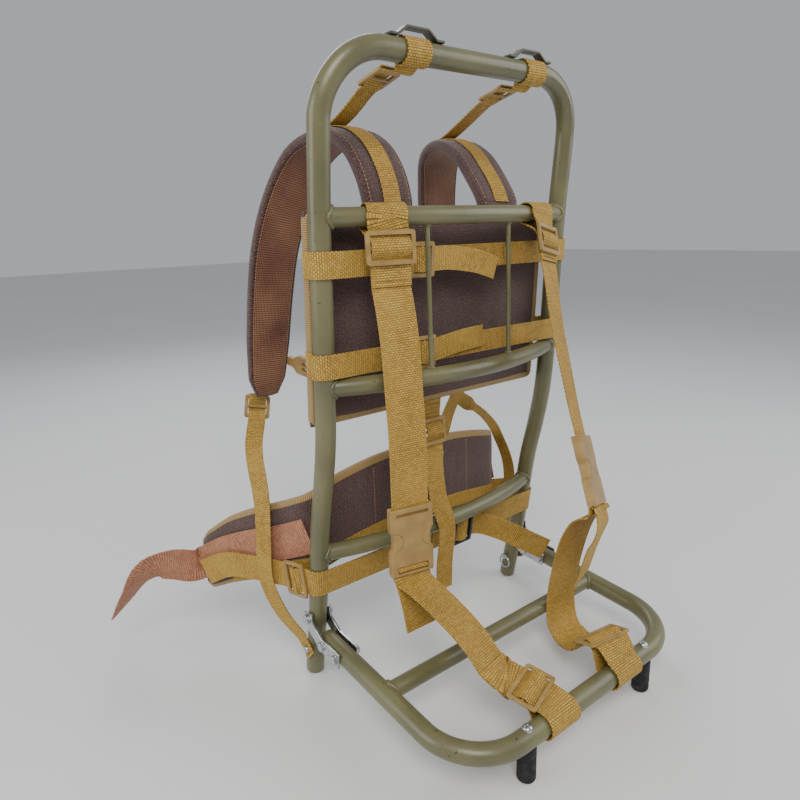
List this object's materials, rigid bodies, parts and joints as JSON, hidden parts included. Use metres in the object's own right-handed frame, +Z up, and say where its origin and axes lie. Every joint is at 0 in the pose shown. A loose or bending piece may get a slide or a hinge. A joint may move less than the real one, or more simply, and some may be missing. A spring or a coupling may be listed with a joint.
{
  "type": "external frame backpack",
  "caption": "Tubular carrying frame with a fold-down load shelf, shoulder pads, back panel, hip belt, webbing bands and buckled load straps, standing on its feet and shelf legs.",
  "frame": {"origin": "middle of the part's box, on the floor that its feet and shelf legs stand on", "axes": "+Z up along the rails, +Y towards the wearer, -Y towards the load shelf, +X to the side of the right rail"},
  "size_m": [0.6412, 0.5886, 0.8098],
  "materials": {
    "olive_paint": "olive satin paint",
    "dark_paint": "dark worn paint",
    "zinc": "bright zinc plating",
    "rubber": "black rubber",
    "webbing": "mustard woven webbing",
    "belt_webbing": "copper-brown woven webbing",
    "tan_plastic": "tan moulded plastic",
    "black_plastic": "black moulded plastic",
    "oxford": "dark brown coated cloth"
  },
  "bodies": {
    "root": {"frame": "olive_paint", "shelf": "olive_paint", "shelf_leg_left": "rubber", "leg_bolt_left": "zinc", "hinge_plate_left_inner": "zinc", "hinge_plate_left_outer": "zinc", "hinge_bolt_left": "zinc", "tether_pin_left": "zinc", "lashing_loop_left": "dark_paint", "load_strap_left": "webbing", "load_glide_left": "tan_plastic", "load_buckle_left": "tan_plastic", "shelf_strap_left": "webbing", "shelf_glide_left": "tan_plastic", "shoulder_pad_left": "oxford", "shoulder_strip_left": "webbing", "lifter_loop_left": "webbing", "lifter_lock_left": "tan_plastic", "load_lifter_left": "webbing", "adjuster_strap_left": "webbing", "adjuster_lock_left": "tan_plastic", "sternum_clip_left": "tan_plastic", "belt_web_left": "belt_webbing", "side_strap_left": "webbing", "side_lock_left": "tan_plastic", "shelf_leg_right": "rubber", "leg_bolt_right": "zinc", "hinge_plate_right_inner": "zinc", "hinge_plate_right_outer": "zinc", "hinge_bolt_right": "zinc", "tether_pin_right": "zinc", "lashing_loop_right": "dark_paint", "load_strap_right": "webbing", "load_glide_right": "tan_plastic", "load_buckle_right": "tan_plastic", "shelf_strap_right": "webbing", "shelf_glide_right": "tan_plastic", "shoulder_pad_right": "oxford", "shoulder_strip_right": "webbing", "lifter_loop_right": "webbing", "lifter_lock_right": "tan_plastic", "load_lifter_right": "webbing", "adjuster_strap_right": "webbing", "adjuster_lock_right": "tan_plastic", "sternum_clip_right": "tan_plastic", "belt_web_right": "belt_webbing", "side_strap_right": "webbing", "side_lock_right": "tan_plastic", "upper_band": "webbing", "upper_band_lock": "tan_plastic", "lower_band": "webbing", "lower_band_lock": "tan_plastic", "lumbar_band": "webbing", "lumbar_band_lock": "black_plastic", "back_panel": "oxford", "hip_belt": "oxford", "centre_strap": "webbing", "centre_glide": "tan_plastic", "belt_hanger": "webbing"}
  },
  "joints": []
}
